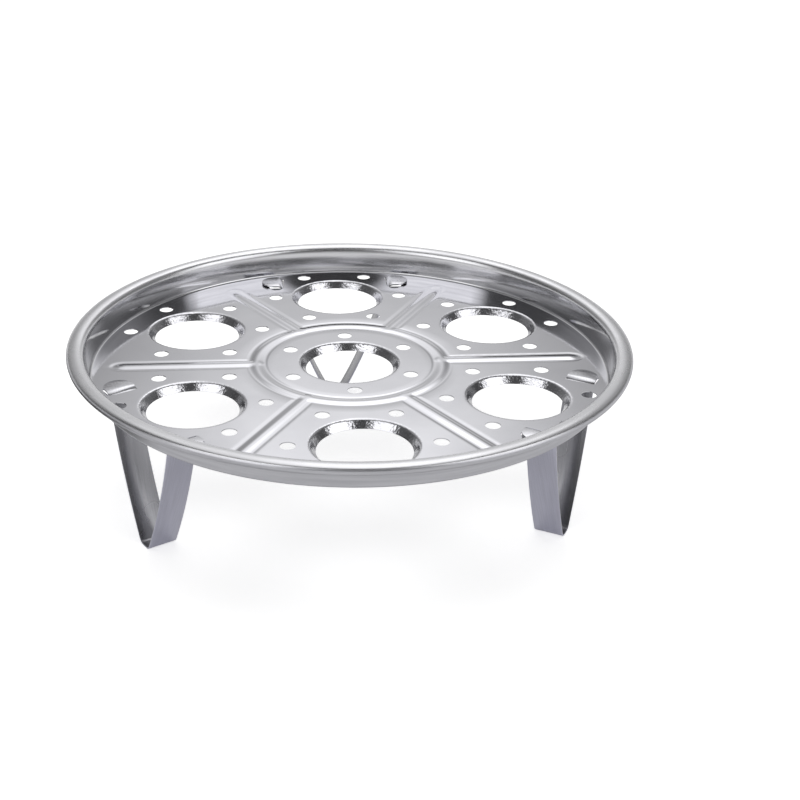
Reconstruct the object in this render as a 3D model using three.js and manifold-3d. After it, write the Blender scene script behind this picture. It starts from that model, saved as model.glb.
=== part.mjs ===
// Egg steamer rack: a tray pressed from one thin sheet, standing on three bent strip legs.
// The tray has a rolled rim, a drawn wall, seven lipped egg holes, a ring bead with six
// ribs, and steam holes. Each leg is a sprung V whose two ends rise through slots in the
// floor and fold outwards over it as round-ended lugs.
// Millimetres, +Z up. The origin is on the table, under the middle of the tray.

import * as THREE from 'three';
import { mergeVertices } from 'three/addons/utils/BufferGeometryUtils.js';
import Module from 'manifold-3d';

// Tray body
const OVERALL_DIAMETER = 178;
const OVERALL_HEIGHT = 53;
const TRAY_DEPTH = 9.4;
const TRAY_SHEET = 0.3;
const WALL_DRAFT = 10;
const FLOOR_BEND_RADIUS = 1;
const RIM_BEAD_DIAMETER = 4.6;
const RIM_CURL_ANGLE = 300;

// Egg holes: one in the middle and a circle of them around it
const EGG_HOLES_AROUND = 6;
const EGG_HOLE_DIAMETER = 28;
const EGG_LIP_WIDTH = 2.5;
const EGG_LIP_DROP = 2.3;
const EGG_LIP_BEND_RADIUS = 0.8;
const EGG_LIP_TO_WALL = 8.7;

// Steam holes: a hexagon of them around every egg hole
const STEAM_HOLES_EACH = 6;
const STEAM_HOLE_DIAMETER = 4.7;
const STEAM_HOLE_TO_LIP = 5.5;
const MIDDLE_STEAM_HOLE_TO_LIP = 4.9;

// Embossed beads: a ring around the middle hole and ribs that run out from it
const BEAD_WIDTH = 5.5;
const BEAD_HEIGHT = 0.6;
const RING_BEAD_DIAMETER = 59.5;
const RIB_TO_WALL = 6.3;

// Legs
const LEG_COUNT = 3;
const LEG_SHEET = 0.5;
const LEG_WIDTH = 9.2;
const LEG_TO_WALL = 11.5;
const LEG_SEAT_SPAN = 37.4;
const FOOT_FLAT = 2;
const FOOT_BEND_RADIUS = 2.2;
const FOLD_RADIUS = 4.7;
const LUG_OVERHANG = 2.6;

// Slots in the floor, and the fit of the legs in them
const SLOT_WIDTH = 5.3;
const SLOT_END_CLEARANCE = 0.65;
const SEAT_CLEARANCE = 0.3;

// Smoothness of the round forms, and how far a cutter runs past what it cuts
const TRAY_SIDES = 48;
const RING_SIDES = 42;
const BEAD_SIDES = 48;
const EGG_HOLE_SIDES = 24;
const STEAM_HOLE_SIDES = 10;
const CURL_STEPS_PER_QUARTER = 3;
const BEND_STEPS = 3;
const LIP_STEPS = 3;
const LEG_BEND_STEPS = 6;
const LUG_ROUND_STEPS = 12;
const RIB_NOSE_STEPS = 9;
const CUT_MARGIN = 1;

// Places that follow from the sizes above
const FULL_TURN = 2 * Math.PI;
const floorTop = OVERALL_HEIGHT - TRAY_DEPTH;
const floorMiddle = floorTop - TRAY_SHEET / 2;
const draft = THREE.MathUtils.degToRad(WALL_DRAFT);
const curlRadius = RIM_BEAD_DIAMETER / 2;
const curlCentre = new THREE.Vector2(OVERALL_DIAMETER / 2 - curlRadius, OVERALL_HEIGHT - curlRadius);
const wallTop = new THREE.Vector2(-Math.cos(draft), Math.sin(draft)).multiplyScalar(curlRadius).add(curlCentre);
const bendHeight = floorTop + FLOOR_BEND_RADIUS;
const wallRise = wallTop.y - bendHeight + FLOOR_BEND_RADIUS * Math.sin(draft);
const floorRadius = wallTop.x - FLOOR_BEND_RADIUS * Math.cos(draft) - wallRise * Math.tan(draft);
const eggHoleRadius = EGG_HOLE_DIAMETER / 2;
const eggLipRadius = eggHoleRadius + EGG_LIP_WIDTH;
const lipReach = new THREE.Vector2(EGG_LIP_WIDTH, EGG_LIP_DROP - EGG_LIP_BEND_RADIUS);
const lipSlope = lipReach.angle() + Math.asin(EGG_LIP_BEND_RADIUS / lipReach.length());
const eggCircleRadius = floorRadius - EGG_LIP_TO_WALL - eggLipRadius;
const beadCurveRadius = (BEAD_WIDTH ** 2 / 4 + BEAD_HEIGHT ** 2) / (2 * BEAD_HEIGHT);
const beadAxisHeight = floorTop + BEAD_HEIGHT - beadCurveRadius;
const legRadius = floorRadius - LEG_TO_WALL;
const slotLength = LEG_WIDTH + 2 * SLOT_END_CLEARANCE;
const lugEnd = LEG_SEAT_SPAN / 2 + SLOT_WIDTH + LUG_OVERHANG;

const wasm = await Module();
wasm.setup();

// Closed solid from a geometry: welded corners, with the flat triangles of poles left out.
function solidOf(geometry) {
  geometry.deleteAttribute('normal');
  geometry.deleteAttribute('uv');
  const welded = mergeVertices(geometry);
  const corners = welded.index.array;
  const triVerts = [];
  for (let i = 0; i < corners.length; i += 3) {
    const [a, b, c] = corners.subarray(i, i + 3);
    if (a !== b && b !== c && c !== a) {
      triVerts.push(a, b, c);
    }
  }
  return new wasm.Manifold(new wasm.Mesh({
    numProp: 3,
    vertProperties: Float32Array.from(welded.attributes.position.array),
    triVerts: Uint32Array.from(triVerts),
  }));
}

function geometryOf(solid) {
  const mesh = solid.getMesh();
  const geometry = new THREE.BufferGeometry();
  geometry.setAttribute('position', new THREE.BufferAttribute(mesh.vertProperties, 3));
  geometry.setIndex(new THREE.BufferAttribute(mesh.triVerts, 1));
  geometry.computeVertexNormals();
  return geometry;
}

function joined(solids) {
  return solids.reduce((whole, solid) => whole.add(solid));
}

// Body of revolution about +Z from [radius, height] points that run up its outside.
function revolved(points, sides) {
  return new THREE.LatheGeometry(points, sides).rotateX(Math.PI / 2);
}

function arcPoints(centre, radiusX, radiusY, fromAngle, toAngle, steps) {
  const clockwise = toAngle < fromAngle;
  return new THREE.EllipseCurve(
    centre.x, centre.y, radiusX, radiusY, fromAngle, toAngle, clockwise,
  ).getPoints(steps);
}

function onCircle(radius, index, count, startAngle) {
  const angle = startAngle + index * FULL_TURN / count;
  return new THREE.Vector3(radius * Math.cos(angle), radius * Math.sin(angle), 0);
}

// One face of the tray's sheet in section, this far below the face that holds the eggs.
function trayFace(depth) {
  const bendCentre = new THREE.Vector2(floorRadius, bendHeight);
  const bendRadius = FLOOR_BEND_RADIUS + depth;
  const rollRadius = curlRadius - depth;
  const curlStart = Math.PI - draft;
  const curlEnd = curlStart - THREE.MathUtils.degToRad(RIM_CURL_ANGLE);
  return [
    new THREE.Vector2(0, floorTop - depth),
    ...arcPoints(bendCentre, bendRadius, bendRadius, -Math.PI / 2, -draft, BEND_STEPS),
    ...arcPoints(curlCentre, rollRadius, rollRadius, curlStart, Math.PI / 2, CURL_STEPS_PER_QUARTER),
    ...arcPoints(curlCentre, rollRadius, rollRadius, Math.PI / 2, 0, CURL_STEPS_PER_QUARTER).slice(1),
    ...arcPoints(curlCentre, rollRadius, rollRadius, 0, curlEnd, CURL_STEPS_PER_QUARTER + 1).slice(1),
  ];
}

function traySheet() {
  const outline = [...trayFace(TRAY_SHEET), ...trayFace(0).reverse()];
  return solidOf(revolved(outline, TRAY_SIDES));
}

// Ring bead and ribs as round bars sunk in the floor. The bars are drawn smaller by inset,
// so that the hollow under the beads leaves one sheet thickness over it.
function embossing(inset) {
  const barRadius = beadCurveRadius - inset;
  const ring = new THREE.TorusGeometry(RING_BEAD_DIAMETER / 2, barRadius, BEAD_SIDES, RING_SIDES);
  ring.translate(0, 0, beadAxisHeight);
  const bars = [solidOf(ring)];
  const noseStart = floorRadius - RIB_TO_WALL - BEAD_WIDTH / 2;
  const ribLength = noseStart - RING_BEAD_DIAMETER / 2;
  for (let i = 0; i < EGG_HOLES_AROUND; i += 1) {
    const rib = new THREE.CapsuleGeometry(barRadius, ribLength, RIB_NOSE_STEPS, BEAD_SIDES, 1);
    rib.rotateZ(Math.PI / 2);
    rib.translate(noseStart - ribLength / 2, 0, beadAxisHeight);
    rib.rotateZ(i * FULL_TURN / EGG_HOLES_AROUND);
    bars.push(solidOf(rib));
  }
  return joined(bars);
}

// The bars show only above the floor: the rest of them is trimmed off in its sheet.
function raisedBeads() {
  const height = floorTop + BEAD_HEIGHT + CUT_MARGIN - floorMiddle;
  const above = new THREE.BoxGeometry(OVERALL_DIAMETER, OVERALL_DIAMETER, height);
  above.translate(0, 0, floorMiddle + height / 2);
  return embossing(0).intersect(solidOf(above));
}

function eggHolePlaces() {
  const places = [new THREE.Vector3()];
  for (let i = 0; i < EGG_HOLES_AROUND; i += 1) {
    places.push(onCircle(eggCircleRadius, i, EGG_HOLES_AROUND, Math.PI / EGG_HOLES_AROUND));
  }
  return places;
}

// One face of an egg hole's lip in section, this far below its upper face: from the hole's
// edge up a straight slope, and over a bend that touches the slope and the floor.
function lipFace(depth) {
  const edge = new THREE.Vector2(eggHoleRadius, floorTop - EGG_LIP_DROP - depth / Math.cos(lipSlope));
  const bendCentre = new THREE.Vector2(eggLipRadius, floorTop - EGG_LIP_BEND_RADIUS);
  const bendRadius = EGG_LIP_BEND_RADIUS - depth;
  const level = Math.PI / 2;
  return [edge, ...arcPoints(bendCentre, bendRadius, bendRadius, level + lipSlope, level, LIP_STEPS)];
}

// Underside of an egg hole's lip, filled in.
function lipBody(place) {
  const underside = lipFace(TRAY_SHEET);
  const outline = [
    new THREE.Vector2(0, underside[0].y),
    ...underside,
    new THREE.Vector2(eggLipRadius + TRAY_SHEET, floorMiddle),
    new THREE.Vector2(0, floorMiddle),
  ];
  return solidOf(revolved(outline, EGG_HOLE_SIDES).translate(place.x, place.y, 0));
}

// Space inside an egg hole, down over its lip.
function eggHole(place) {
  const low = floorTop - EGG_LIP_DROP - TRAY_SHEET - CUT_MARGIN;
  const high = floorTop + CUT_MARGIN;
  const outline = [
    new THREE.Vector2(0, low),
    new THREE.Vector2(eggHoleRadius, low),
    ...lipFace(0),
    new THREE.Vector2(eggLipRadius + CUT_MARGIN, high),
    new THREE.Vector2(0, high),
  ];
  return solidOf(revolved(outline, EGG_HOLE_SIDES).translate(place.x, place.y, 0));
}

// Steam holes sit in line with the gaps between egg holes, as seen from each egg hole.
function steamHoles(place) {
  const isMiddle = place.length() === 0;
  const reach = eggLipRadius + (isMiddle ? MIDDLE_STEAM_HOLE_TO_LIP : STEAM_HOLE_TO_LIP);
  const startAngle = Math.atan2(place.y, place.x) + Math.PI / STEAM_HOLES_EACH;
  const height = TRAY_SHEET + 2 * CUT_MARGIN;
  const holes = [];
  for (let i = 0; i < STEAM_HOLES_EACH; i += 1) {
    const centre = onCircle(reach, i, STEAM_HOLES_EACH, startAngle).add(place);
    const radius = STEAM_HOLE_DIAMETER / 2;
    const hole = new THREE.CylinderGeometry(radius, radius, height, STEAM_HOLE_SIDES);
    hole.rotateX(Math.PI / 2);
    hole.translate(centre.x, centre.y, floorMiddle);
    holes.push(solidOf(hole));
  }
  return joined(holes);
}

function legAngle(index) {
  return index * FULL_TURN / LEG_COUNT;
}

// The two slots that one leg's ends rise through.
function legSlots(index) {
  const slots = [];
  for (const side of [-1, 1]) {
    const slot = new THREE.BoxGeometry(SLOT_WIDTH, slotLength, TRAY_SHEET + 2 * CUT_MARGIN);
    slot.translate(side * (LEG_SEAT_SPAN + SLOT_WIDTH) / 2, legRadius, floorMiddle);
    slot.rotateZ(legAngle(index));
    slots.push(solidOf(slot));
  }
  return joined(slots);
}

function trayGeometry() {
  const places = eggHolePlaces();
  const sheet = joined([traySheet(), raisedBeads(), ...places.map(lipBody)]);
  const slots = Array.from({ length: LEG_COUNT }, (_, index) => legSlots(index));
  const cuts = [embossing(TRAY_SHEET), ...places.map(eggHole), ...places.map(steamHoles), ...slots];
  return geometryOf(sheet.subtract(joined(cuts)));
}

// Middle line of half a leg: the bend beside the foot's flat, a straight strand that touches
// this bend and the fold, and the fold that lays the lug over the floor. The fold's outer face
// stands clear of the slot's inner edge.
function halfLegLine() {
  const upright = Math.PI / 2;
  const footRadius = FOOT_BEND_RADIUS + LEG_SHEET / 2;
  const footCentre = new THREE.Vector2(FOOT_FLAT / 2, LEG_SHEET / 2 + footRadius);
  const foldRadius = FOLD_RADIUS + LEG_SHEET / 2;
  const lugHeight = floorTop + SEAT_CLEARANCE + LEG_SHEET / 2;
  const foldHeight = lugHeight - foldRadius;
  const toUnderside = floorTop - TRAY_SHEET - foldHeight;
  const foldBehind = Math.sqrt((FOLD_RADIUS + LEG_SHEET) ** 2 - toUnderside ** 2);
  const foldCentre = new THREE.Vector2(LEG_SEAT_SPAN / 2 + SEAT_CLEARANCE + foldBehind, foldHeight);
  const between = foldCentre.clone().sub(footCentre);
  const rise = between.angle() + Math.asin((footRadius + foldRadius) / between.length());
  return [
    ...arcPoints(footCentre, footRadius, footRadius, -upright, rise - upright, LEG_BEND_STEPS),
    ...arcPoints(foldCentre, foldRadius, foldRadius, rise + upright, upright, LEG_BEND_STEPS),
    new THREE.Vector2(lugEnd + CUT_MARGIN, lugHeight),
  ];
}

// Outline of a strip of even thickness around a middle line.
function stripOutline(line, thickness) {
  const sides = [[], []];
  line.forEach((point, i) => {
    const before = line[Math.max(i - 1, 0)];
    const after = line[Math.min(i + 1, line.length - 1)];
    const into = (i > 0 ? point.clone().sub(before) : after.clone().sub(point)).normalize();
    const out = (i < line.length - 1 ? after.clone().sub(point) : into.clone()).normalize();
    const along = into.clone().add(out).normalize();
    const normal = new THREE.Vector2(-along.y, along.x).multiplyScalar(thickness / 2 / along.dot(out));
    sides[0].push(point.clone().add(normal));
    sides[1].push(point.clone().sub(normal));
  });
  return [...sides[1], ...sides[0].reverse()];
}

// A leg at the middle of its own frame: its V in the XZ plane, its width along Y.
function legGeometry() {
  const half = halfLegLine();
  const otherHalf = half.map((point) => new THREE.Vector2(-point.x, point.y)).reverse();
  const outline = new THREE.Shape(stripOutline([...otherHalf, ...half], LEG_SHEET));
  const blankWidth = LEG_WIDTH + 2 * CUT_MARGIN;
  const blank = new THREE.ExtrudeGeometry(outline, { depth: blankWidth, bevelEnabled: false });
  blank.rotateX(Math.PI / 2);
  blank.translate(0, blankWidth / 2, 0);
  const roundRadius = LEG_WIDTH / 2;
  const roundCentre = lugEnd - roundRadius;
  const plan = new THREE.Shape();
  plan.absarc(roundCentre, 0, roundRadius, -Math.PI / 2, Math.PI / 2, false);
  plan.absarc(-roundCentre, 0, roundRadius, Math.PI / 2, 3 * Math.PI / 2, false);
  const trim = new THREE.ExtrudeGeometry(plan, {
    depth: OVERALL_HEIGHT + 2 * CUT_MARGIN,
    curveSegments: LUG_ROUND_STEPS,
    bevelEnabled: false,
  });
  trim.translate(0, 0, -CUT_MARGIN);
  return geometryOf(solidOf(blank).intersect(solidOf(trim)));
}

const traySteel = new THREE.MeshStandardMaterial({ color: 0xc9cacd, roughness: 0.22, metalness: 1 });
const legSteel = new THREE.MeshStandardMaterial({ color: 0xb4b4be, roughness: 0.32, metalness: 1 });

const rack = new THREE.Group();

const tray = new THREE.Mesh(trayGeometry(), traySteel);
tray.name = 'tray';
rack.add(tray);

['leg_back', 'leg_left', 'leg_right'].forEach((name, index) => {
  const station = new THREE.Group();
  station.rotation.z = legAngle(index);
  const leg = new THREE.Mesh(legGeometry(), legSteel);
  leg.name = name;
  leg.position.y = legRadius;
  station.add(leg);
  rack.add(station);
});

export default rack;
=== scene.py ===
import math

import bpy
from mathutils import Matrix, Vector


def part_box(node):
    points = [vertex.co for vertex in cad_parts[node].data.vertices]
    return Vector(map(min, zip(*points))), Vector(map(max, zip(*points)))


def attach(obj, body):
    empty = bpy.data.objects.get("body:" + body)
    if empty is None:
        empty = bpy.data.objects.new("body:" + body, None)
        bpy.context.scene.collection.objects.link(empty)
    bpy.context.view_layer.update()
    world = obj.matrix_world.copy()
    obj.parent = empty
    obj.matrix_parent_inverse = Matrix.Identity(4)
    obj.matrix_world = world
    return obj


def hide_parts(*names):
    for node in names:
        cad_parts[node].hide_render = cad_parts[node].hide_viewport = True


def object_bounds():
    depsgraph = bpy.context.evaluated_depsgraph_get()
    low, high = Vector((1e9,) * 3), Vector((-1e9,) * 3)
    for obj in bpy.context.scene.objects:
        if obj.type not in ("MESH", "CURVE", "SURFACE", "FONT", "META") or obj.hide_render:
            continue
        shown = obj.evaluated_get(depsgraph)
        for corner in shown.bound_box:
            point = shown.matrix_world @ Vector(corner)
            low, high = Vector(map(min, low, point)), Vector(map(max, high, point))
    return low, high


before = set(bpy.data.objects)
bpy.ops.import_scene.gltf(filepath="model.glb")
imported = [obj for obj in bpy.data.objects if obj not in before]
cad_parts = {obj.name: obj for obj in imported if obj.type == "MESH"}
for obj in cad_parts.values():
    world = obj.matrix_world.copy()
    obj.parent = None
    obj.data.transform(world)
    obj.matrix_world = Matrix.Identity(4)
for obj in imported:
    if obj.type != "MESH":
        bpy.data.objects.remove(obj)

bl_info = {
    "name": "Egg Steamer Rack",
    "version": (1, 0, 0),
    "blender": (4, 5, 0),
    "location": "3D View > Sidebar > Rack",
    "description": "Models a pressed steel egg steamer rack on strip legs, and sets a white studio round it",
    "category": "Add Mesh",
}

MM = 0.001
CLOSE = 0.002 * MM
UP = math.pi / 2
CAD_LOW, CAD_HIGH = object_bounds()
LEG_LOW, LEG_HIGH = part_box("leg_back")
BODY = "root"
EGG_HOLES_AROUND = 6
STEAM_HOLES_EACH = 6
LEG_ANGLES = {
    "leg_back": 0.0,
    "leg_left": math.radians(120),
    "leg_right": math.radians(240),
}

# Finer points of the tray and the legs
LIP_LAND = 0.6 * MM
PUNCH_HEIGHT = 8 * MM
RIB_ZONE = math.radians(15)
LUG_ROUNDING = 0.99
FACES_UP = 0.1
SHARP_EDGE = math.radians(60)
SMOOTH_BELOW = math.radians(40)

# Numbers of steps and sides
RIB_ZONE_STEPS = 34
FIELD_STEPS = 22
LIP_SIDES = 96
STEAM_SIDES = 40
SLOT_CORNER_STEPS = 4
LIP_BEND_STEPS = 8
FLOOR_BEND_STEPS = 8
SHOULDER_STEPS = 7
RIM_TOP_STEPS = 6
RIM_EDGE_STEPS = 10
LEG_BEND_STEPS = 12
STRAND_STEPS = 12
LUG_STEPS = 14
HALVINGS = 60

# Material slots after the first, of the tray and of a leg
LIP_SLOT = 1
WALL_SLOT = 2
OUTSIDE_SLOT = 3
RIM_SLOT = 4
# Slot for the leg's upward-facing inside, whose darker steel is painted shade
PAINTED_SHADE_SLOT = 1
LUG_SLOT = 2

# Stage, with lengths in metres
PAPER_SIZE = 8.0
TENT_RADIUS = 1.8
PANEL_TURNS = (math.radians(-51), math.radians(60))
PANEL_ELEVATION = math.radians(35)
PANEL_REACH = 1.0
PANEL_WIDTH = 0.9
PANEL_HEIGHT = 0.95
LAMP_OFFSET = Vector((0.0, 0.1, 1.0))
LAMP_WIDTH = 1.2
LAMP_DEPTH = 1.0
CARD_SPOT = (-0.37, 0.05, 0.5 * MM)
CARD_SCALE = (0.5, 0.18, 1.0)
CARD_GLOW = 0.02


def length(name, description, millimetres):
    """A length that shows in the panel in the scene's units."""
    return bpy.props.FloatProperty(
        name=name, description=description, default=millimetres * MM, unit="LENGTH", precision=5
    )


def angle(name, description, degrees):
    """An angle that shows in the panel in degrees."""
    return bpy.props.FloatProperty(
        name=name, description=description, default=math.radians(degrees), subtype="ANGLE"
    )


def factor(name, description, value):
    """A share from 0 to 1, shown as a slider."""
    return bpy.props.FloatProperty(
        name=name, description=description, default=value, min=0.0, max=1.0, subtype="FACTOR"
    )


def colour(name, description, red, green, blue):
    """A linear colour."""
    return bpy.props.FloatVectorProperty(
        name=name, description=description, default=(red, green, blue), size=3, subtype="COLOR"
    )


def number(name, description, value):
    """A plain number."""
    return bpy.props.FloatProperty(name=name, description=description, default=value)


class TraySizes(bpy.types.PropertyGroup):
    """Sizes of the pressed tray."""

    outer_radius: length("Outer radius", "Middle of the tray to the outside of the rim", CAD_HIGH.x / MM)
    rim_height: length("Rim height", "Table to the top of the rim", CAD_HIGH.z / MM)
    depth: length("Depth", "Top of the rim down to the floor", 9.4)
    sheet: length("Sheet", "Thickness of the tray's sheet", 0.3)
    wall_draft: angle("Wall draft", "How far the wall leans out under the rim", 13)
    foot_draft: angle("Foot draft", "How far the wall leans out at its foot", 5)
    floor_bend: length("Floor bend", "Inner radius where the floor turns up into the wall", 0.6)
    rim_top: length("Rim top", "Radius of the rim's broad top", 6.5)
    rim_tilt: angle("Rim tilt", "Slope at the two sides of the rim's top", 14)
    rim_edge: length("Rim edge", "Radius of the rim's outer edge", 1.25)
    rim_shoulder: length("Rim shoulder", "Radius where the rim turns down into the wall", 2.1)
    rim_hem: length("Rim hem", "Width of the sheet that is turned in under the rim", 2.4)
    dull_from: angle("Dull from", "Slope of the rim's outer side at which the bright finish ends", 47)
    egg_hole: length("Egg hole", "Clear diameter of an egg hole", 28.0)
    lip_width: length("Lip width", "Width of the sloping lip of an egg hole", 2.5)
    lip_drop: length("Lip drop", "How far the lip's edge lies under the floor", 2.3)
    lip_bend: length("Lip bend", "Radius where the floor turns down into a lip", 1.3)
    egg_to_wall: length("Egg lip to wall", "Floor between an outer egg hole's lip and the wall's bend", 8.08)
    steam_hole: length("Steam hole", "Diameter of a steam hole", 4.7)
    steam_to_lip: length("Steam hole to lip", "Middle of a steam hole to the lip it stands by", 5.5)
    middle_steam_to_lip: length("Middle steam hole to lip", "The same, round the middle egg hole", 4.9)
    bead_width: length("Bead width", "Width of a pressed bead, with the dip on each side of it", 7.4)
    bead_height: length("Bead height", "Height of the pressed beads over the floor", 0.2)
    bead_dip: length("Bead dip", "Depth of the dips beside a bead under the floor", 0.12)
    bead_share: factor("Bead share", "Share of the width that the raised middle takes", 0.72)
    ring_bead: length("Ring bead", "Diameter of the ring bead at its crest", 59.5)
    rib_to_wall: length("Rib to wall", "End of a rib to the wall's bend", 4.8)
    rib_nose: length("Rib nose", "Length of a rib's tapered end", 5.4)
    slot_width: length("Slot width", "Width of a leg slot", 5.3)
    slot_length: length("Slot length", "Length of a leg slot", 9.5)
    slot_corner: length("Slot corner", "Radius of a leg slot's corners", 0.5)

    @property
    def floor_top(self):
        """Height of the floor's upper face over the table."""
        return self.rim_height - self.depth

    @property
    def lip_radius(self):
        """Radius at which the floor begins to turn down into a lip."""
        return self.egg_hole / 2 + self.lip_width

    @property
    def lip_slope(self):
        """Slope of a lip that touches its bend and ends at the hole's edge."""
        below = self.lip_drop - self.lip_bend
        line = math.hypot(below, self.lip_width)
        return math.atan2(below, self.lip_width) + math.asin(self.lip_bend / line)

    @property
    def crest(self):
        """Radius of the rim's crest."""
        tilt = math.sin(self.rim_tilt)
        return self.outer_radius - self.rim_edge * (1 - tilt) - self.rim_top * tilt

    def rim_centre(self, radius, tilt):
        """Centre of a bend that touches the rim's top at this tilt."""
        reach = self.rim_top - radius
        height = self.rim_height - self.rim_top + reach * math.cos(tilt)
        return Vector((self.crest + reach * math.sin(tilt), height))

    @property
    def wall_top(self):
        """Where the rim's shoulder runs into the wall, as radius and height."""
        lean = Vector((-math.cos(self.wall_draft), math.sin(self.wall_draft)))
        return self.rim_centre(self.rim_shoulder, -self.rim_tilt) + self.rim_shoulder * lean

    @property
    def floor_radius(self):
        """Radius of the flat floor, where its bend begins."""
        rise = self.wall_top.y - self.floor_top - self.floor_bend * (1 - math.sin(self.foot_draft))
        lean = (math.tan(self.wall_draft) + math.tan(self.foot_draft)) / 2
        return self.wall_top.x - self.floor_bend * math.cos(self.foot_draft) - rise * lean

    @property
    def egg_circle(self):
        """Radius of the circle on which the outer egg holes stand."""
        return self.floor_radius - self.egg_to_wall - self.lip_radius


class LegSizes(bpy.types.PropertyGroup):
    """Sizes of the bent strip legs."""

    sheet: length("Strip", "Thickness of the strip", 0.5)
    width: length("Width", "Width of the strip", (LEG_HIGH.y - LEG_LOW.y) / MM)
    radius: length(
        "Radius", "Middle of the tray to the middle of the strip", (LEG_HIGH.y + LEG_LOW.y) / 2 / MM
    )
    seat_span: length("Seat span", "Between the inner edges of one leg's two slots", 37.4)
    seat_gap: length("Seat gap", "Clearance of the strip in its slot and over the floor", 0.3)
    foot_flat: length("Foot flat", "Flat that the leg stands on", 2.0)
    foot_bend: length("Foot bend", "Inner radius of the bends beside the flat", 2.2)
    fold: length("Fold", "Inner radius of the fold that lays a lug over the floor", 2.2)
    bow: angle("Bow", "How far a strand turns between its foot and its fold", 13)
    lug_reach: length("Lug reach", "Middle of the leg to the end of a lug", LEG_HIGH.x / MM)
    edge: length("Edge", "Width of the softened edges", 0.06)


class SteelLook(bpy.types.PropertyGroup):
    """Colours and finish of the steel."""

    sheet_colour: colour("Sheet colour", "Bright floor of the tray", 0.61, 0.61, 0.64)
    sheet_shade: colour("Sheet shade", "Duller patches of the floor", 0.56, 0.56, 0.59)
    wall_colour: colour("Wall colour", "Inside of the drawn wall", 0.60, 0.60, 0.62)
    wall_shade: colour("Wall shade", "Duller streaks of the wall", 0.50, 0.50, 0.52)
    rim_colour: colour("Rim colour", "Top of the rolled rim", 0.68, 0.68, 0.70)
    rim_shade: colour("Rim shade", "Duller streaks of the rim", 0.59, 0.59, 0.61)
    outside_colour: colour("Outside colour", "Outside of the wall, and the underside", 0.58, 0.58, 0.61)
    outside_shade: colour("Outside shade", "Duller streaks of the outside", 0.50, 0.50, 0.53)
    leg_colour: colour("Leg colour", "Rolled strip", 0.63, 0.63, 0.73)
    leg_shade: colour("Leg shade", "Duller lines of the strip", 0.57, 0.57, 0.66)
    # Painted shade: the strip's inside, which faces up under the tray, gets these darker colours in place of
    # the shade there
    inner_painted_shade_colour: colour("Leg inside colour", "Inside of the bent strip", 0.36, 0.36, 0.38)
    inner_painted_shade_lines: colour("Leg inside shade", "Duller lines of the inside", 0.30, 0.30, 0.32)
    sheet_gloss: factor("Sheet roughness", "Roughness of the bright floor", 0.075)
    lip_gloss: factor("Lip roughness", "Roughness of the drawn lips", 0.11)
    wall_gloss: factor("Wall roughness", "Roughness of the drawn wall", 0.11)
    rim_gloss: factor("Rim roughness", "Roughness of the rim's top", 0.26)
    outside_gloss: factor("Outside roughness", "Roughness of the outside", 0.36)
    leg_gloss: factor("Leg roughness", "Roughness of the strip", 0.2)
    inside_gloss: factor("Leg inside roughness", "Roughness of the strip's inside", 0.26)


class StudioSettings(bpy.types.PropertyGroup):
    """Camera and light."""

    lens: number("Lens", "Focal length in millimetres", 63.3)
    distance: length("Distance", "Camera to the middle of the tray's floor", 451.7)
    elevation: angle("Elevation", "Camera's height above the horizon", 24.18)
    turn: angle("Turn", "How far the camera stands to the left of the front", 4.65)
    roll: angle("Roll", "How far the camera is tilted about its own line of sight", 0.66)
    shift_x: number("Shift X", "Sideways shift of the frame", 0.063)
    shift_y: number("Shift Y", "Upward shift of the frame", -0.048)
    paper: colour("Paper", "Floor that the rack stands on", 0.86, 0.86, 0.86)
    paper_lift: factor("Paper lift", "Light that brings the paper up to white for the camera", 0.65)
    metal_lift: factor("Metal lift", "The same, where the paper shows in the metal", 0.15)
    sky: factor("Sky", "Strength of the light from all round", 0.4)
    lamp: number("Lamp", "Power of the lamp overhead in watts", 4.6)
    panel: number("Panel", "Brightness of the tent and of the side panels", 1.9)


def only(obj):
    """Selects one object and nothing else, and makes it active."""
    if bpy.context.object and bpy.context.object.mode != "OBJECT":
        bpy.ops.object.mode_set(mode="OBJECT")
    bpy.ops.object.select_all(action="DESELECT")
    obj.select_set(True)
    bpy.context.view_layer.objects.active = obj


def fresh(name):
    """Names the object that was just added, and its mesh."""
    obj = bpy.context.object
    obj.name = name
    obj.data.name = name
    return obj


def apply_modifier(obj, kind, **settings):
    """Adds a modifier with these settings and applies it."""
    only(obj)
    modifier = obj.modifiers.new(kind.title(), kind)
    for key, value in settings.items():
        setattr(modifier, key, value)
    bpy.ops.object.modifier_apply(modifier=modifier.name)


def apply_place(obj):
    """Moves the object's place, turn and scale into its mesh."""
    only(obj)
    bpy.ops.object.transform_apply(location=True, rotation=True, scale=True)


def thicken(obj, sheet, offset):
    """Gives a surface the thickness of a sheet: behind it at an offset of -1, to both sides at 0."""
    apply_modifier(obj, "SOLIDIFY", thickness=sheet, offset=offset, use_even_offset=True)


def join(target, others):
    """Joins other objects into the target."""
    only(target)
    for other in others:
        other.select_set(True)
    bpy.ops.object.join()
    return target


def arc(centre, radius, start, end, steps):
    """Points along an arc of a circle, ends included."""
    points = []
    for step in range(steps + 1):
        turn = start + (end - start) * step / steps
        points.append(centre + Vector((radius * math.cos(turn), radius * math.sin(turn))))
    return points


def spaced(start, end, steps):
    """Values after start, up to end."""
    return [start + (end - start) * (step + 1) / steps for step in range(steps)]


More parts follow.
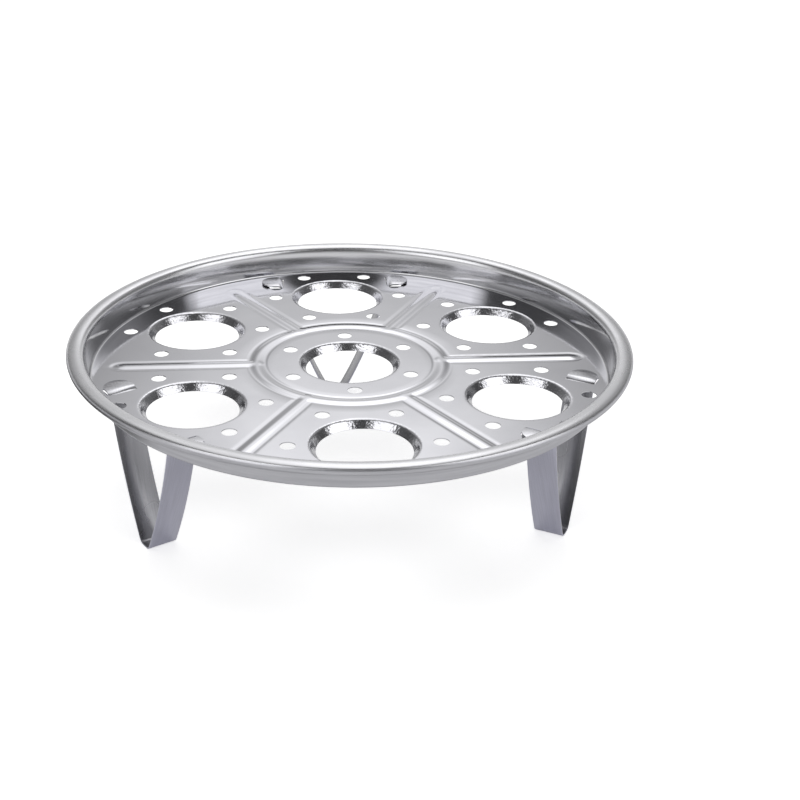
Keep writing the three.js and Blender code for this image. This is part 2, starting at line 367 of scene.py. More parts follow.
def draw_section(name, points):
    """Draws a section of (radius, height) points in the XZ plane, and leaves it in edit mode."""
    bpy.ops.object.select_all(action="DESELECT")
    bpy.ops.mesh.primitive_plane_add(size=MM)
    obj = fresh(name)
    bpy.ops.object.mode_set(mode="EDIT")
    bpy.ops.mesh.select_mode(type="VERT")
    bpy.ops.mesh.select_all(action="SELECT")
    bpy.ops.mesh.merge(type="CENTER")
    bpy.ops.transform.translate(value=(points[0].x, 0.0, points[0].y))
    previous = points[0]
    for point in points[1:]:
        step = point - previous
        bpy.ops.mesh.extrude_vertices_move(TRANSFORM_OT_translate={"value": (step.x, 0.0, step.y)})
        previous = point
    bpy.ops.mesh.select_all(action="SELECT")
    return obj


def spin(steps, turn, centre=(0, 0, 0), axis=(0, 0, 1)):
    """Spins the selection about an axis, counter-clockwise as seen from the axis's tip."""
    bpy.ops.mesh.spin(steps=steps, angle=-turn, center=centre, axis=axis)


def close_spin(obj):
    """Welds the seam of a spun sheet, and turns its faces so that the flat of it faces up."""
    bpy.ops.mesh.select_all(action="SELECT")
    bpy.ops.mesh.remove_doubles(threshold=CLOSE)
    bpy.ops.mesh.normals_make_consistent(inside=False)
    bpy.ops.object.mode_set(mode="OBJECT")
    flattest = max(obj.data.polygons, key=lambda face: abs(face.normal.z) * face.area)
    if flattest.normal.z < 0:
        only(obj)
        bpy.ops.object.mode_set(mode="EDIT")
        bpy.ops.mesh.select_all(action="SELECT")
        bpy.ops.mesh.flip_normals()
        bpy.ops.object.mode_set(mode="OBJECT")


def lip_section(tray):
    """Lip of an egg hole, from its edge up the slope and over the bend to the floor."""
    centre = Vector((tray.lip_radius, tray.floor_top - tray.lip_bend))
    bend = arc(centre, tray.lip_bend, UP + tray.lip_slope, UP, LIP_BEND_STEPS)
    edge = Vector((tray.egg_hole / 2, tray.floor_top - tray.lip_drop))
    slope = [edge.lerp(bend[0], share) for share in (0.0, 0.1, 0.5, 0.9)]
    return [*slope, *bend]


def tray_section(tray):
    """Upper face of the tray, from the middle egg hole's lip to the end of the rolled rim."""
    half_bead = tray.bead_width / 2
    ring = tray.ring_bead / 2
    rib_end = tray.floor_radius - tray.rib_to_wall
    rows = [tray.lip_radius + LIP_LAND]
    for end, steps in (
        (ring - half_bead, 4),
        (ring + half_bead, 22),
        (rib_end - tray.rib_nose - half_bead / 2, 10),
        (rib_end, 20),
        (tray.floor_radius - LIP_LAND, 2),
    ):
        rows += spaced(rows[-1], end, steps)
    floor = [Vector((row, tray.floor_top)) for row in rows]
    centre = Vector((tray.floor_radius, tray.floor_top + tray.floor_bend))
    bend = arc(centre, tray.floor_bend, -UP, -tray.foot_draft, FLOOR_BEND_STEPS)
    tilt = tray.rim_tilt
    centre = tray.rim_centre(tray.rim_shoulder, -tilt)
    shoulder = arc(centre, tray.rim_shoulder, math.pi - tray.wall_draft, UP + tilt, SHOULDER_STEPS)
    centre = Vector((tray.crest, tray.rim_height - tray.rim_top))
    top = arc(centre, tray.rim_top, UP + tilt, UP - tilt, RIM_TOP_STEPS)
    centre = tray.rim_centre(tray.rim_edge, tilt)
    edge = arc(centre, tray.rim_edge, UP - tilt, -UP, RIM_EDGE_STEPS)
    hem = [edge[-1] - Vector((tray.rim_hem * share, 0.0)) for share in (0.1, 1.0)]
    foot = bend[-1]
    rise = shoulder[0].y - foot.y
    steeper = math.tan(tray.wall_draft) - math.tan(tray.foot_draft)
    wall = []
    for share in (0.1, 0.3, 0.5, 0.7, 0.9):
        lean = math.tan(tray.foot_draft) + steeper * share / 2
        wall.append(foot + Vector((lean, 1.0)) * rise * share)
    return [*lip_section(tray), *floor, *bend, *wall, *shoulder, *top[1:], *edge[1:], *hem]


def ease(share):
    """Soft step from 1 at no share to 0 at a full share."""
    return 0.5 + 0.5 * math.cos(math.pi * min(max(share, 0.0), 1.0))


def bead_parts(tray, offset):
    """How far the raised middle and the dip of a bead have their way, this far off its line."""
    share = 2 * offset / tray.bead_width
    middle = ease(share / tray.bead_share)
    dip = (1 - middle) * ease((share - tray.bead_share) / (1 - tray.bead_share))
    return middle, dip


def bead_level(tray, x, y):
    """Level of the ring bead and the ribs over the floor, where the one runs into the other."""
    half_bead = tray.bead_width / 2
    ring = tray.ring_bead / 2
    nose_start = tray.floor_radius - tray.rib_to_wall - tray.rib_nose
    reach = math.hypot(x, y)
    sector = 2 * math.pi / EGG_HOLES_AROUND
    off_rib = (math.atan2(y, x) + sector / 2) % sector - sector / 2
    along = reach * math.cos(off_rib)
    across = reach * math.sin(off_rib)
    before = max(ring - along, 0.0)
    past = max(along - nose_start, 0.0) * half_bead / tray.rib_nose
    rib, rib_dip = bead_parts(tray, math.hypot(before + past, across))
    circle, circle_dip = bead_parts(tray, abs(reach - ring))
    raised = 1 - (1 - rib) * (1 - circle)
    sunk = max(rib_dip * (1 - circle), circle_dip * (1 - rib))
    return tray.bead_height * raised - tray.bead_dip * sunk


def press_beads(tray, obj):
    """Raises the ring bead and the ribs in the flat floor."""
    for vertex in obj.data.vertices:
        if abs(vertex.co.z - tray.floor_top) < CLOSE:
            vertex.co.z += bead_level(tray, vertex.co.x, vertex.co.y)
    obj.data.update()


def egg_places(tray):
    """Middles of the outer egg holes."""
    places = []
    for index in range(EGG_HOLES_AROUND):
        turn = (index + 0.5) * 2 * math.pi / EGG_HOLES_AROUND
        places.append(Vector((math.cos(turn), math.sin(turn), 0.0)) * tray.egg_circle)
    return places


def steam_places(tray):
    """Middles of all steam holes: a hexagon round every egg hole."""
    half_step = math.pi / STEAM_HOLES_EACH
    rings = [(Vector(), half_step, tray.lip_radius + tray.middle_steam_to_lip)]
    for place in egg_places(tray):
        first = math.atan2(place.y, place.x) + half_step
        rings.append((place, first, tray.lip_radius + tray.steam_to_lip))
    places = []
    for middle, first, reach in rings:
        for index in range(STEAM_HOLES_EACH):
            turn = first + index * 2 * math.pi / STEAM_HOLES_EACH
            places.append(middle + Vector((math.cos(turn), math.sin(turn), 0.0)) * reach)
    return places


def punch_round(tray, places, radius, sides):
    """Round punches that stand through the floor at these places."""
    punches = []
    for place in places:
        bpy.ops.object.select_all(action="DESELECT")
        spot = (place.x, place.y, tray.floor_top)
        bpy.ops.mesh.primitive_cylinder_add(vertices=sides, radius=radius, depth=PUNCH_HEIGHT, location=spot)
        punches.append(fresh("punch"))
    return punches


def punch_slots(tray, leg):
    """Punches for the two slots of every leg, with rounded corners."""
    punches = []
    middle = (leg.seat_span + tray.slot_width) / 2
    for turn in LEG_ANGLES.values():
        for side in (-1, 1):
            bpy.ops.object.select_all(action="DESELECT")
            bpy.ops.mesh.primitive_cube_add(size=1.0)
            punch = fresh("punch")
            punch.scale = (tray.slot_width, tray.slot_length, PUNCH_HEIGHT)
            apply_place(punch)
            round_upright_edges(punch, tray.slot_corner)
            punch.location = (side * middle, leg.radius, tray.floor_top)
            apply_place(punch)
            punch.rotation_euler.z = turn
            apply_place(punch)
            punches.append(punch)
    return punches


def select_edges(obj, wanted):
    """Opens a mesh in edit mode with only the edges whose two ends are wanted selected."""
    only(obj)
    bpy.ops.object.mode_set(mode="EDIT")
    bpy.ops.mesh.select_mode(type="EDGE")
    bpy.ops.mesh.select_all(action="DESELECT")
    bpy.ops.object.mode_set(mode="OBJECT")
    for edge in obj.data.edges:
        ends = [obj.data.vertices[corner].co for corner in edge.vertices]
        edge.select = wanted(*ends)
    bpy.ops.object.mode_set(mode="EDIT")


def round_upright_edges(obj, radius):
    """Rounds the four upright edges of a block."""
    select_edges(obj, lambda one, other: abs(one.z - other.z) > radius)
    bpy.ops.mesh.bevel(offset=radius, segments=SLOT_CORNER_STEPS, affect="EDGES")
    bpy.ops.object.mode_set(mode="OBJECT")


def make_tray_sheet(tray):
    """Spins the tray's section round, finer beside each rib, and presses the beads."""
    obj = draw_section("pressed_tray", tray_section(tray))
    sector = 2 * math.pi / EGG_HOLES_AROUND
    bpy.ops.object.mode_set(mode="OBJECT")
    obj.data.transform(Matrix.Rotation(-RIB_ZONE / 2, 4, "Z"))
    bpy.ops.object.mode_set(mode="EDIT")
    bpy.ops.mesh.select_all(action="SELECT")
    for _ in range(EGG_HOLES_AROUND):
        spin(RIB_ZONE_STEPS, RIB_ZONE)
        spin(FIELD_STEPS, sector - RIB_ZONE)
    close_spin(obj)
    press_beads(tray, obj)
    thicken(obj, tray.sheet, -1.0)
    return obj


def make_lips(tray):
    """Round lips of the outer egg holes: one is spun, and copied to every place."""
    land = Vector((tray.lip_radius + LIP_LAND, tray.floor_top))
    first = draw_section("lip", [*lip_section(tray), land])
    spin(LIP_SIDES, 2 * math.pi)
    close_spin(first)
    thicken(first, tray.sheet, -1.0)
    lips = []
    for place in egg_places(tray):
        only(first)
        bpy.ops.object.duplicate()
        lip = bpy.context.object
        lip.location = place
        apply_place(lip)
        lips.append(lip)
    bpy.data.objects.remove(first)
    return lips


def punch_tray(tray, leg, sheet):
    """Punches the steam holes, the leg slots and the seats of the outer lips out of the sheet."""
    punches = punch_round(tray, egg_places(tray), tray.lip_radius + LIP_LAND, LIP_SIDES)
    punches += punch_round(tray, steam_places(tray), tray.steam_hole / 2, STEAM_SIDES)
    punches += punch_slots(tray, leg)
    tool = join(punches[0], punches[1:])
    apply_place(tool)
    apply_modifier(sheet, "BOOLEAN", operation="DIFFERENCE", object=tool, solver="MANIFOLD")
    bpy.data.objects.remove(tool)


def leg_line(tray, leg):
    """Centres of the foot's bend and of the fold, the strand's slope at its foot, and its bow's radius."""
    foot = Vector((leg.foot_flat / 2, leg.sheet + leg.foot_bend))
    fold_height = tray.floor_top + leg.seat_gap - leg.fold
    to_underside = tray.floor_top - tray.sheet - fold_height
    behind = math.sqrt((leg.fold + leg.sheet) ** 2 - to_underside ** 2)
    fold = Vector((leg.seat_span / 2 + leg.seat_gap + behind, fold_height))
    # The slope at which the bowed strand meets the fold is found by halving this range.
    low, high = math.radians(30), math.radians(89) - leg.bow
    for _ in range(HALVINGS):
        slope = (low + high) / 2
        reach = foot + strand_side(slope) * (leg.foot_bend + leg.sheet / 2)
        reach += strand_side(slope + leg.bow) * (leg.fold + leg.sheet / 2)
        chord = strand_side(slope + leg.bow) - strand_side(slope)
        radius = (fold.y - reach.y) / chord.y
        if reach.x + chord.x * radius > fold.x:
            low = slope
        else:
            high = slope
    return foot, fold, slope, radius


def strand_side(slope):
    """Outer side of a strand of this slope."""
    return Vector((math.sin(slope), -math.cos(slope)))


def make_leg(tray, leg):
    """Half of the back leg is bent up from its foot, mirrored and thickened."""
    middle = leg.sheet / 2
    foot, fold, slope, radius = leg_line(tray, leg)
    bpy.ops.object.select_all(action="DESELECT")
    bpy.ops.mesh.primitive_plane_add(size=1.0)
    obj = fresh("leg")
    obj.scale = (leg.foot_flat / 2, leg.width, 1.0)
    obj.location = (leg.foot_flat / 4, leg.radius, middle)
    apply_place(obj)
    select_edges(obj, lambda one, other: min(one.x, other.x) > leg.foot_flat / 2 - CLOSE)
    spin(LEG_BEND_STEPS, slope, (foot.x, leg.radius, foot.y), (0, -1, 0))
    bowed = foot + strand_side(slope) * (leg.foot_bend + middle - radius)
    spin(STRAND_STEPS, leg.bow, (bowed.x, leg.radius, bowed.y), (0, -1, 0))
    spin(LEG_BEND_STEPS, slope + leg.bow, (fold.x, leg.radius, fold.y), (0, 1, 0))
    lug = leg.lug_reach - fold.x
    bpy.ops.mesh.extrude_region_move(TRANSFORM_OT_translate={"value": (lug, 0.0, 0.0)})
    bpy.ops.mesh.select_mode(type="VERT")
    corner = min(lug, leg.width / 2) * LUG_ROUNDING
    bpy.ops.mesh.bevel(offset=corner, segments=LUG_STEPS, affect="VERTICES")
    bpy.ops.mesh.select_all(action="SELECT")
    bpy.ops.mesh.remove_doubles(threshold=CLOSE)
    bpy.ops.mesh.normals_make_consistent(inside=False)
    bpy.ops.object.mode_set(mode="OBJECT")
    apply_modifier(obj, "MIRROR", use_axis=(True, False, False), merge_threshold=CLOSE)
    thicken(obj, leg.sheet, 0.0)
    apply_modifier(
        obj, "BEVEL", width=leg.edge, segments=2, limit_method="ANGLE", angle_limit=SHARP_EDGE
    )
    return obj


class NodeSheet:
    """Small helper that adds and links the nodes of one material."""

    def __init__(self, name):
        self.material = bpy.data.materials.new(name)
        self.material.use_nodes = True
        self.tree = self.material.node_tree
        self.shader = self.tree.nodes["Principled BSDF"]

    def add(self, kind, **settings):
        """Adds a node with these settings."""
        node = self.tree.nodes.new(kind)
        for key, value in settings.items():
            setattr(node, key, value)
        return node

    def link(self, output, target):
        """Links an output to an input."""
        self.tree.links.new(output, target)

    def place(self):
        """Coordinates in the object's own frame."""
        return self.add("ShaderNodeTexCoord").outputs["Object"]

    def noise(self, vector, scale, detail=2.0, roughness=0.5):
        """Noise with about this many waves to a metre."""
        node = self.add("ShaderNodeTexNoise")
        node.inputs["Scale"].default_value = scale
        node.inputs["Detail"].default_value = detail
        node.inputs["Roughness"].default_value = roughness
        self.link(vector, node.inputs["Vector"])
        return node.outputs["Fac"]

    def spread(self, value, low, high, source_low=0.3, source_high=0.7):
        """Carries a range of values over to another range."""
        node = self.add("ShaderNodeMapRange")
        node.inputs["From Min"].default_value = source_low
        node.inputs["From Max"].default_value = source_high
        node.inputs["To Min"].default_value = low
        node.inputs["To Max"].default_value = high
        self.link(value, node.inputs["Value"])
        return node.outputs["Result"]

    def tint(self, value, first, second):
        """Goes from one colour to another in the middle of the value's range."""
        node = self.add("ShaderNodeValToRGB")
        node.color_ramp.elements[0].position = 0.35
        node.color_ramp.elements[0].color = (*first, 1.0)
        node.color_ramp.elements[1].position = 0.65
        node.color_ramp.elements[1].color = (*second, 1.0)
        self.link(value, node.inputs["Fac"])
        return node.outputs["Color"]

    def maths(self, operation, first, second=0.0):
        """Result of an operation on two outputs, or on an output and a number."""
        node = self.add("ShaderNodeMath", operation=operation)
        for socket, value in zip(node.inputs, (first, second)):
            if isinstance(value, float):
                socket.default_value = value
            else:
                self.link(value, socket)
        return node.outputs["Value"]

    def greys(self, value, stops):
        """Greys at these positions, and straight lines between them."""
        node = self.add("ShaderNodeValToRGB")
        points = node.color_ramp.elements
        points[0].position = stops[0][0]
        points[-1].position = stops[-1][0]
        for position, _ in stops[1:-1]:
            points.new(position)
        for point, (_, grey) in zip(points, stops):
            point.color = (grey, grey, grey, 1.0)
        self.link(value, node.inputs["Fac"])
        return node.outputs["Color"]

    def bump(self, height, distance, strength, normal=None):
        """Normal of a surface with this relief, over an earlier one if it is given."""
        node = self.add("ShaderNodeBump")
        node.inputs["Strength"].default_value = strength
        node.inputs["Distance"].default_value = distance
        self.link(height, node.inputs["Height"])
        if normal is not None:
            self.link(normal, node.inputs["Normal"])
        return node.outputs["Normal"]

    def steel(self, tint, gloss, normal):
        """Makes the material a metal with this colour, roughness and relief."""
        self.link(tint, self.shader.inputs["Base Color"])
        self.link(gloss, self.shader.inputs["Roughness"])
        self.link(normal, self.shader.inputs["Normal"])
        self.shader.inputs["Metallic"].default_value = 1.0
        return self.material


def bright_sheet(look):
    """Bright pressed stainless sheet: a little wavy, with a fine grain and duller patches."""
    sheet = NodeSheet("bright_sheet_steel")
    place = sheet.place()
    patches = sheet.noise(place, 45.0, detail=3.0)
    grain = sheet.noise(place, 2600.0, detail=2.0)
    waves = sheet.noise(place, 32.0, detail=1.0)
    tint = sheet.tint(patches, look.sheet_shade, look.sheet_colour)
    gloss = sheet.spread(patches, look.sheet_gloss + 0.05, look.sheet_gloss - 0.02)
    ripple = sheet.bump(waves, 0.25 * MM, 0.25)
    return sheet.steel(tint, gloss, sheet.bump(grain, 0.01 * MM, 0.15, ripple))


def drawn_lip(look):
    """Steel of the egg holes' lips, puckered where it was drawn down."""
    sheet = NodeSheet("drawn_lip_steel")
    place = sheet.place()
    pucker = sheet.noise(place, 1100.0, detail=2.0, roughness=0.6)
    patches = sheet.noise(place, 90.0, detail=2.0)
    tint = sheet.tint(patches, look.sheet_shade, look.sheet_colour)
    gloss = sheet.spread(patches, look.lip_gloss + 0.05, look.lip_gloss - 0.03)
    return sheet.steel(tint, gloss, sheet.bump(pucker, 0.22 * MM, 0.45))


def drawn_steel(name, shade, bright, roughness):
    """Drawn sheet, with faint streaks that run round the tray."""
    sheet = NodeSheet(name)
    place = sheet.place()
    flattened = sheet.add("ShaderNodeMapping")
    flattened.inputs["Scale"].default_value = (1.0, 1.0, 22.0)
    sheet.link(place, flattened.inputs["Vector"])
    streaks = sheet.noise(flattened.outputs["Vector"], 40.0, detail=3.0)
    waves = sheet.noise(place, 60.0, detail=1.0)
    tint = sheet.tint(streaks, shade, bright)
    gloss = sheet.spread(streaks, roughness + 0.04, roughness - 0.03)
    return sheet.steel(tint, gloss, sheet.bump(waves, 0.3 * MM, 0.3))


def drawn_wall(look):
    """Steel of the wall's inside."""
    return drawn_steel("drawn_wall_steel", look.wall_shade, look.wall_colour, look.wall_gloss)


def rolled_rim(look):
    """Steel of the rim's top, rubbed duller than the wall."""
    return drawn_steel("rolled_rim_steel", look.rim_shade, look.rim_colour, look.rim_gloss)


def dull_outside(look):
    """Steel of the wall's outside and of the underside, which the press leaves duller."""
    return drawn_steel("dull_outside_steel", look.outside_shade, look.outside_colour, look.outside_gloss)


def strip_lines(sheet):
    """Fine lines along a leg's strip, set by the distance from the tray's middle."""
    apart = sheet.add("ShaderNodeSeparateXYZ")
    sheet.link(sheet.place(), apart.inputs["Vector"])
    flat = sheet.add("ShaderNodeCombineXYZ")
    sheet.link(apart.outputs["X"], flat.inputs["X"])
    sheet.link(apart.outputs["Y"], flat.inputs["Y"])
    reach = sheet.add("ShaderNodeVectorMath", operation="LENGTH")
    sheet.link(flat.outputs["Vector"], reach.inputs[0])
    along = sheet.add("ShaderNodeCombineXYZ")
    sheet.link(reach.outputs["Value"], along.inputs["X"])
    sheet.link(sheet.maths("MULTIPLY", apart.outputs["Z"], 0.03), along.inputs["Y"])
    return sheet.noise(along.outputs["Vector"], 2200.0, detail=3.0)


def rolled_steel(name, shade, bright, roughness):
    """Rolled strip with fine lines along its length."""
    sheet = NodeSheet(name)
    lines = strip_lines(sheet)
    patches = sheet.noise(sheet.place(), 60.0, detail=2.0)
    tint = sheet.tint(lines, shade, bright)
    gloss = sheet.spread(patches, roughness - 0.05, roughness + 0.06)
    return sheet.steel(tint, gloss, sheet.bump(lines, 0.02 * MM, 0.25))


def strip_outside(look):
    """Steel of a leg's outside."""
    return rolled_steel("strip_outside_steel", look.leg_shade, look.leg_colour, look.leg_gloss)


def painted_shade_inner_strip(look):
    """Steel of a leg's inside: duller, and darker as painted shade for the shade under the tray."""
    return rolled_steel("painted_shade_inner_strip_steel", look.inner_painted_shade_lines, look.inner_painted_shade_colour, look.inside_gloss)


def strip_lug(look):
    """Steel of the lugs, rubbed bright where they were folded down."""
    return rolled_steel("strip_lug_steel", look.sheet_shade, look.sheet_colour, look.sheet_gloss + 0.14)


def fill_slots(obj, look, makers):
    """Gives a piece these materials, in this order."""
    obj.data.materials.clear()
    for maker in makers:
        obj.data.materials.append(maker(look))


def paint_leg(tray, obj):
    """Gives the strip's outside, its inside and the lugs their own finish; the upward-facing inside gets a
    darker steel as painted shade.
    """
    for face in obj.data.polygons:
        if face.center.z > tray.floor_top - tray.sheet:
            face.material_index = LUG_SLOT
        # Faces that point up lie under the tray: their darker steel is painted shade
        elif face.normal.z > FACES_UP:
            face.material_index = PAINTED_SHADE_SLOT


def paint_tray(tray, obj):
    """Gives the lips, the wall, the rim and the outside of the sheet their own finish."""
    middles = [Vector(), *egg_places(tray)]
    for face in obj.data.polygons:
        spot = Vector((face.center.x, face.center.y, 0.0))
        beyond_floor = spot.length > tray.floor_radius
        outward = face.normal.dot(spot.normalized()) > math.sin(tray.dull_from)
        if face.normal.z < 0 or (beyond_floor and outward):
            face.material_index = OUTSIDE_SLOT
        elif face.center.z > tray.wall_top.y:
            face.material_index = RIM_SLOT
        elif beyond_floor:
            face.material_index = WALL_SLOT
        elif min((spot - middle).length for middle in middles) < tray.lip_radius:
            face.material_index = LIP_SLOT


def finish_piece(obj, node):
    """Smooths a finished piece, hangs it under the rack's body and hides the CAD node that it stands for."""
    apply_place(obj)
    bpy.ops.object.shade_smooth_by_angle(angle=SMOOTH_BELOW)
    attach(obj, BODY)
    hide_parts(node)


class RACK_OT_tray(bpy.types.Operator):
    """Press, punch and finish the tray"""

    bl_idname = "rack.tray"
    bl_label = "Make Tray"

    def execute(self, context):
        tray = context.scene.rack_tray
        obj = make_tray_sheet(tray)
        punch_tray(tray, context.scene.rack_leg, obj)
        if not obj.data.polygons:
            raise RuntimeError("the punches left nothing of the tray's sheet")
        join(obj, make_lips(tray))
        makers = (bright_sheet, drawn_lip, drawn_wall, dull_outside, rolled_rim)
        fill_slots(obj, context.scene.rack_look, makers)
        paint_tray(tray, obj)
        finish_piece(obj, "tray")
        return {"FINISHED"}


class RACK_OT_legs(bpy.types.Operator):
    """Bend one strip leg, and set a copy at each of the three stations"""

    bl_idname = "rack.legs"
    bl_label = "Make Legs"

    def execute(self, context):
        tray = context.scene.rack_tray
        pattern = make_leg(tray, context.scene.rack_leg)
        fill_slots(pattern, context.scene.rack_look, (strip_outside, painted_shade_inner_strip, strip_lug))
        paint_leg(tray, pattern)
        for node, turn in LEG_ANGLES.items():
            only(pattern)
            bpy.ops.object.duplicate()
            copy = fresh("strip_" + node)
            copy.rotation_euler.z = turn
            finish_piece(copy, node)
        bpy.data.objects.remove(pattern)
        return {"FINISHED"}


def paper_material(studio):
    """White paper: lit by the studio, lifted to white where it is seen directly or in the metal."""
    sheet = NodeSheet("studio_paper")
    fibre = sheet.noise(sheet.place(), 700.0, detail=3.0)
    pale = tuple(studio.paper)
    worn = tuple(0.985 * part for part in pale)
    sheet.link(sheet.tint(fibre, worn, pale), sheet.shader.inputs["Base Color"])
    sheet.shader.inputs["Roughness"].default_value = 0.9
    sheet.shader.inputs["Specular IOR Level"].default_value = 0.0
    sheet.shader.inputs["Emission Color"].default_value = (1.0, 1.0, 1.0, 1.0)
    lift = seen_directly(sheet, studio.paper_lift, studio.metal_lift)
    sheet.link(lift, sheet.shader.inputs["Emission Strength"])
    return sheet.material


def seen_directly(sheet, to_camera, to_metal):
    """One value for rays from the camera, another for rays from glossy or through clear surfaces, else 0."""
    path = sheet.add("ShaderNodeLightPath")
    mirrored = sheet.maths("MAXIMUM", path.outputs["Is Glossy Ray"], path.outputs["Is Transmission Ray"])
    in_metal = sheet.maths("MULTIPLY", mirrored, to_metal)
    in_camera = sheet.maths("MULTIPLY", path.outputs["Is Camera Ray"], to_camera)
    return sheet.maths("MAXIMUM", in_camera, in_metal)


class WorldSheet(NodeSheet):
    """The same helper for the world's nodes."""

    def __init__(self, name):
        self.world = bpy.data.worlds.new(name)
        self.world.use_nodes = True
        self.tree = self.world.node_tree
        self.shader = self.tree.nodes["Background"]


def set_world(studio):
    """White all round to look at, softer as a light."""
    sheet = WorldSheet("studio_white")
    bpy.context.scene.world = sheet.world
    sheet.shader.inputs["Color"].default_value = (1.0, 1.0, 1.0, 1.0)
    level = sheet.maths("MAXIMUM", seen_directly(sheet, 1.0, 1.0), studio.sky)
    sheet.link(level, sheet.shader.inputs["Strength"])


def add_camera(studio, target):
    """Camera at the photograph's viewing angle, aimed at the middle of the floor."""
    flat = studio.distance * math.cos(studio.elevation)
    spot = target + Vector((
        -flat * math.sin(studio.turn),
        -flat * math.cos(studio.turn),
        studio.distance * math.sin(studio.elevation),
    ))
    aim = (target - spot).to_track_quat("-Z", "Y").to_matrix()
    rolled = aim @ Matrix.Rotation(studio.roll, 3, "Z")
    bpy.ops.object.camera_add(location=spot, rotation=rolled.to_euler())
    camera = bpy.context.object
    camera.name = "camera"
    camera.data.lens = studio.lens
    camera.data.sensor_width = 36.0
    camera.data.shift_x = studio.shift_x
    camera.data.shift_y = studio.shift_y
    camera.data.clip_start = 0.01
    camera.data.clip_end = 20.0
    bpy.context.scene.camera = camera


def add_lamp(studio, target):
    """Large soft lamp overhead. The metal shows the tent and the side panels instead of it."""
    bpy.ops.object.light_add(type="AREA", location=target + LAMP_OFFSET)
    lamp = bpy.context.object
    lamp.name = "lamp"
    lamp.data.shape = "RECTANGLE"
    lamp.data.size = LAMP_WIDTH
    lamp.data.size_y = LAMP_DEPTH
    lamp.data.energy = studio.lamp
    lamp.visible_glossy = False


def show_in_metal_only(obj):
    """Hides a stage piece from everything but reflections."""
    obj.visible_camera = False
    obj.visible_diffuse = False
    obj.visible_shadow = False
    obj.visible_transmission = False


def glow(name, level):
    """Node sheet of a surface that only glows, with this strength."""
    sheet = NodeSheet(name)
    sheet.shader.inputs["Base Color"].default_value = (0.0, 0.0, 0.0, 1.0)
    sheet.shader.inputs["Specular IOR Level"].default_value = 0.0
    sheet.shader.inputs["Emission Strength"].default_value = level
    sheet.material.cycles.emission_sampling = "NONE"
    return sheet


def add_tent(studio, target):
    """Tent round the rack: a pale back, a white roof, a dark front, and a pale strip over the table."""
    facing = (0.0, 0.0, -studio.turn)
    bpy.ops.mesh.primitive_uv_sphere_add(
        segments=64, ring_count=32, radius=TENT_RADIUS, location=target, rotation=facing
    )
    tent = fresh("tent")
    bpy.ops.object.shade_smooth()
    sheet = glow("studio_tent", studio.panel)
    toward = sheet.add("ShaderNodeVectorMath", operation="NORMALIZE")
    sheet.link(sheet.place(), toward.inputs[0])
    apart = sheet.add("ShaderNodeSeparateXYZ")
    sheet.link(toward.outputs["Vector"], apart.inputs["Vector"])
    right, behind, above = apart.outputs["X"], apart.outputs["Y"], apart.outputs["Z"]
    half_turns = sheet.maths("DIVIDE", sheet.maths("ARCTAN2", right, behind), math.pi)
    from_back = sheet.maths("ABSOLUTE", half_turns)
    up = sheet.maths("DIVIDE", sheet.maths("ARCSINE", above), math.pi / 2)
    over = sheet.maths("DIVIDE", sheet.maths("ARCTAN2", above, behind), math.pi)
    across = sheet.spread(right, 0.0, 1.0, -1.0, 1.0)
    # Each pair is a place from 0 to 1 and the grey there.
    back = sheet.greys(from_back, (
        (0.0, 0.71), (0.03, 0.68), (0.055, 0.53), (0.08, 0.36),
        (0.12, 0.25), (0.27, 0.2), (0.38, 0.07), (1.0, 0.05),
    ))
    rise = sheet.greys(up, (
        (0.0, 0.48), (0.13, 0.5), (0.22, 0.54), (0.25, 0.62), (0.3, 0.89), (0.34, 1.0),
    ))
    ledge = sheet.greys(up, ((0.0, 0.44), (0.15, 0.42), (0.2, 0.0)))
    ledge_span = sheet.greys(from_back, ((0.13, 1.0), (0.25, 0.0)))
    roof = sheet.greys(over, ((0.14, 0.0), (0.21, 1.0), (0.36, 0.95), (0.5, 0.74), (0.6, 0.0)))
    roof_span = sheet.greys(across, (
        (0.25, 0.0), (0.33, 0.5), (0.4, 0.6), (0.48, 1.0), (0.61, 1.0), (0.69, 0.0),
    ))
    horizon = sheet.greys(up, ((0.0, 0.52), (0.06, 0.5), (0.13, 0.14), (0.2, 0.0)))
    brightest = horizon
    for light, limit in ((back, rise), (ledge, ledge_span), (roof, roof_span)):
        brightest = sheet.maths("MAXIMUM", brightest, sheet.maths("MULTIPLY", light, limit))
    sheet.link(brightest, sheet.shader.inputs["Emission Color"])
    tent.data.materials.append(sheet.material)
    show_in_metal_only(tent)


def add_panel(name, spot, target, level):
    """Light panel with soft edges that shows in the metal."""
    aim = (target - spot).to_track_quat("Z", "Y").to_euler()
    bpy.ops.mesh.primitive_plane_add(size=2.0, location=spot, rotation=aim)
    panel = fresh(name)
    panel.scale = (PANEL_WIDTH / 2, PANEL_HEIGHT / 2, 1.0)
    sheet = glow(name + "_light", level)
    apart = sheet.add("ShaderNodeSeparateXYZ")
    sheet.link(sheet.place(), apart.inputs["Vector"])
    across = sheet.maths("ABSOLUTE", apart.outputs["X"])
    along = sheet.maths("ABSOLUTE", apart.outputs["Y"])
    outwards = sheet.maths("MAXIMUM", across, along)
    sheet.link(sheet.greys(outwards, ((0.7, 1.0), (1.0, 0.12))), sheet.shader.inputs["Emission Color"])
    panel.data.materials.append(sheet.material)
    show_in_metal_only(panel)


def add_dark_card():
    """Dark card that lies on the paper at the left and gives the rim a dark outline in the metal."""
    bpy.ops.mesh.primitive_plane_add(size=1.0, location=CARD_SPOT)
    card = fresh("dark_card")
    card.scale = CARD_SCALE
    card.data.materials.append(glow("dark_card_black", CARD_GLOW).material)
    show_in_metal_only(card)


def around(target, turn, elevation, reach):
    """Point at this turn to the right of the front, this high and this far from the target."""
    flat = reach * math.cos(elevation)
    return target + Vector((flat * math.sin(turn), -flat * math.cos(turn), reach * math.sin(elevation)))


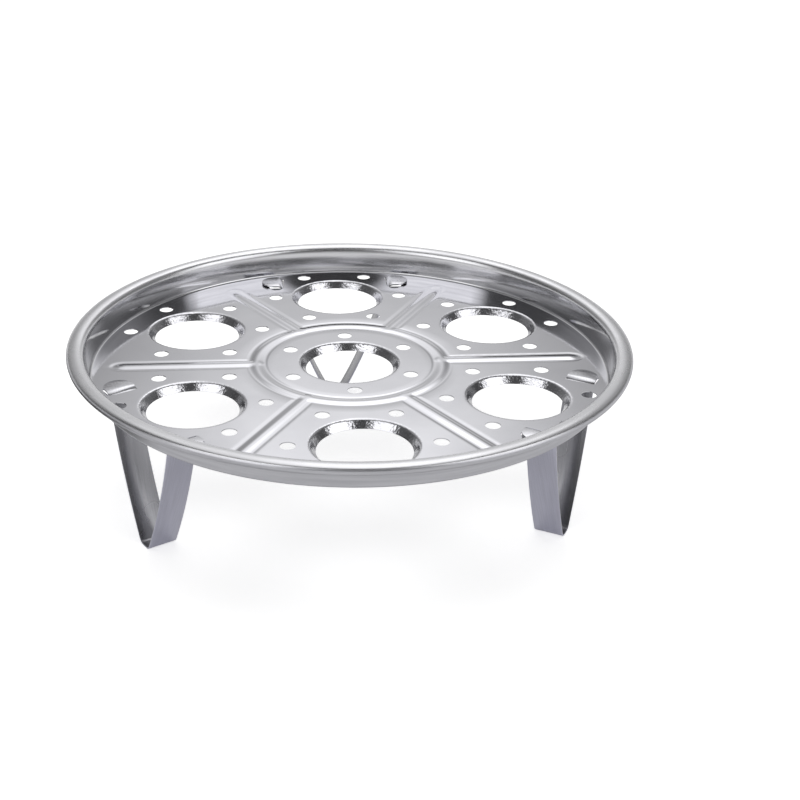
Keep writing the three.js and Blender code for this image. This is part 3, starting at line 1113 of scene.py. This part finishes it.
class RACK_OT_stage(bpy.types.Operator):
    """Set the paper floor, the camera, the lamp, the tent, the side panels and the dark card"""

    bl_idname = "rack.stage"
    bl_label = "Set Stage"

    def execute(self, context):
        studio = context.scene.rack_studio
        target = Vector((0.0, 0.0, context.scene.rack_tray.floor_top))
        bpy.ops.object.select_all(action="DESELECT")
        bpy.ops.mesh.primitive_plane_add(size=PAPER_SIZE)
        paper = fresh("paper")
        paper.data.materials.append(paper_material(studio))
        set_world(studio)
        add_camera(studio, target)
        add_lamp(studio, target)
        add_tent(studio, target)
        for turn in PANEL_TURNS:
            spot = around(target, turn, PANEL_ELEVATION, PANEL_REACH)
            add_panel("side_panel", spot, target, studio.panel)
        add_dark_card()
        context.scene.view_settings.view_transform = "Standard"
        return {"FINISHED"}


class RACK_PT_panel(bpy.types.Panel):
    """Sizes and steps of the rack"""

    bl_label = "Egg Steamer Rack"
    bl_idname = "RACK_PT_panel"
    bl_space_type = "VIEW_3D"
    bl_region_type = "UI"
    bl_category = "Rack"

    def draw(self, context):
        for maker in MAKERS:
            self.layout.operator(maker.bl_idname)
        for owner in SETTINGS:
            box = self.layout.box()
            group = getattr(context.scene, owner)
            for key in group.bl_rna.properties.keys():
                if key not in {"rna_type", "name"}:
                    box.prop(group, key)


SETTINGS = {
    "rack_tray": TraySizes,
    "rack_leg": LegSizes,
    "rack_look": SteelLook,
    "rack_studio": StudioSettings,
}
MAKERS = (RACK_OT_tray, RACK_OT_legs, RACK_OT_stage)


def register():
    """Registers the settings, the operators and the panel."""
    for group in SETTINGS.values():
        bpy.utils.register_class(group)
    for part in (*MAKERS, RACK_PT_panel):
        bpy.utils.register_class(part)
    for owner, group in SETTINGS.items():
        setattr(bpy.types.Scene, owner, bpy.props.PointerProperty(type=group))


def unregister():
    """Takes out what was registered, in the opposite order."""
    for owner in SETTINGS:
        delattr(bpy.types.Scene, owner)
    for part in (RACK_PT_panel, *reversed(MAKERS)):
        bpy.utils.unregister_class(part)
    for group in reversed(SETTINGS.values()):
        bpy.utils.unregister_class(group)


def main():
    """Makes the whole scene."""
    register()
    bpy.ops.rack.stage()
    bpy.ops.rack.tray()
    bpy.ops.rack.legs()


if __name__ == "__main__":
    main()
